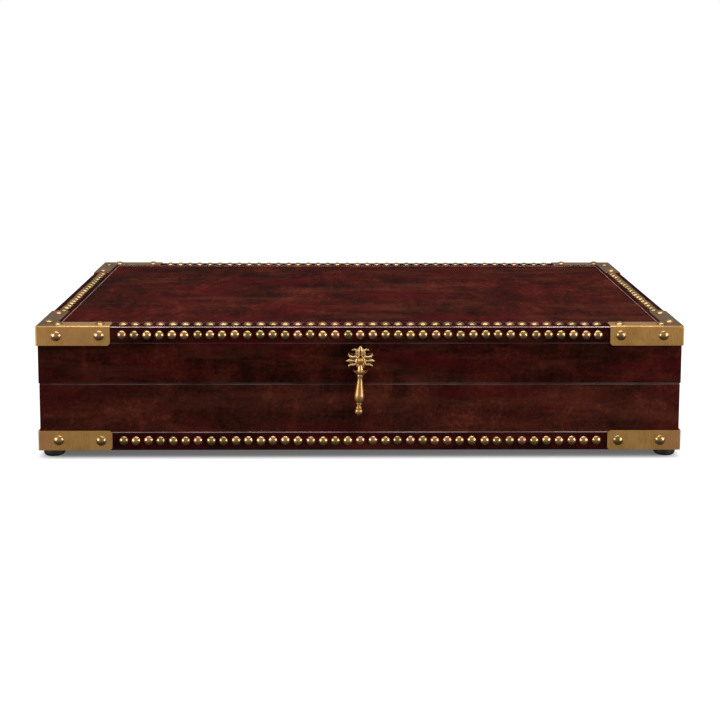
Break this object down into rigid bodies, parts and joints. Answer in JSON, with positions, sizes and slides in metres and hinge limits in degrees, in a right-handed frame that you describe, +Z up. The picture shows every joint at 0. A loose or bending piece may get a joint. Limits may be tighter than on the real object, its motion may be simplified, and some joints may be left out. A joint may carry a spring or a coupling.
{
  "type": "leather box",
  "caption": "Low rectangular leather-covered wooden box with a hinged lid, brass corner plates, nailed edge strips, rubber feet and a drop pull on the lid's front.",
  "frame": {"origin": "on the floor under the middle of the box's outline, between the feet", "axes": "+X along the length to the right of who faces the pull, +Y to the hinged back, +Z up"},
  "size_m": [0.6148, 0.3672, 0.1294],
  "materials": {
    "wood_board": "raw plywood board, cut edges",
    "box_leather": "antiqued oxblood leather, mottled, semi-gloss wax",
    "trim_leather": "skived strip of the same leather, burnished edge",
    "plate_brass": "satin aged brass sheet",
    "nail_brass": "antique brass, dark in the hollows",
    "hinge_brass": "drawn brass, lightly tarnished",
    "pull_brass": "cast brass, polished on the high parts",
    "screw_steel": "zinc plated steel",
    "foot_rubber": "matt black rubber",
    "lining_felt": "dark brown felt",
    "underside_cloth": "black backing cloth"
  },
  "bodies": {
    "base": {"base_back_board": "wood_board", "base_bottom_board": "wood_board", "base_corner_back_left": "plate_brass", "base_corner_back_right": "plate_brass", "base_corner_front_left": "plate_brass", "base_corner_front_right": "plate_brass", "base_corner_nails": "nail_brass", "base_front_board": "wood_board", "base_leather": "box_leather", "base_left_board": "wood_board", "base_lining_floor": "lining_felt", "base_lining_walls": "lining_felt", "base_right_board": "wood_board", "base_row_nails": "nail_brass", "base_trim_back": "trim_leather", "base_trim_front": "trim_leather", "base_trim_left": "trim_leather", "base_trim_right": "trim_leather", "base_underside_cloth": "underside_cloth", "foot_screws": "screw_steel", "hinge_base_leaf_left": "hinge_brass", "hinge_base_leaf_right": "hinge_brass", "hinge_base_screws": "hinge_brass", "hinge_pin_left": "hinge_brass", "hinge_pin_right": "hinge_brass", "rubber_feet": "foot_rubber"},
    "lid": {"hinge_lid_leaf_left": "hinge_brass", "hinge_lid_leaf_right": "hinge_brass", "hinge_lid_screws": "hinge_brass", "lid_back_board": "wood_board", "lid_corner_back_left": "plate_brass", "lid_corner_back_right": "plate_brass", "lid_corner_front_left": "plate_brass", "lid_corner_front_right": "plate_brass", "lid_corner_nails": "nail_brass", "lid_front_board": "wood_board", "lid_leather": "box_leather", "lid_left_board": "wood_board", "lid_lining_top": "lining_felt", "lid_lining_walls": "lining_felt", "lid_right_board": "wood_board", "lid_row_nails": "nail_brass", "lid_top_board": "wood_board", "lid_top_nails": "nail_brass", "lid_trim_back": "trim_leather", "lid_trim_front": "trim_leather", "lid_trim_left": "trim_leather", "lid_trim_right": "trim_leather", "pull_nut": "screw_steel", "pull_pin": "screw_steel", "pull_post": "pull_brass", "pull_rosette": "pull_brass"},
    "drop": {"pull_drop": "pull_brass"}
  },
  "joints": [
    {"name": "lid_hinge", "type": "hinge", "parent": "base", "child": "lid", "pos_m": [0, 0.1727, 0.071], "axis": [-1, 0, 0], "range_deg": [0, 95]},
    {"name": "pull_swing", "type": "hinge", "parent": "lid", "child": "drop", "pos_m": [0, -0.1818, 0.094], "axis": [-1, 0, 0], "range_deg": [0, 172]}
  ]
}
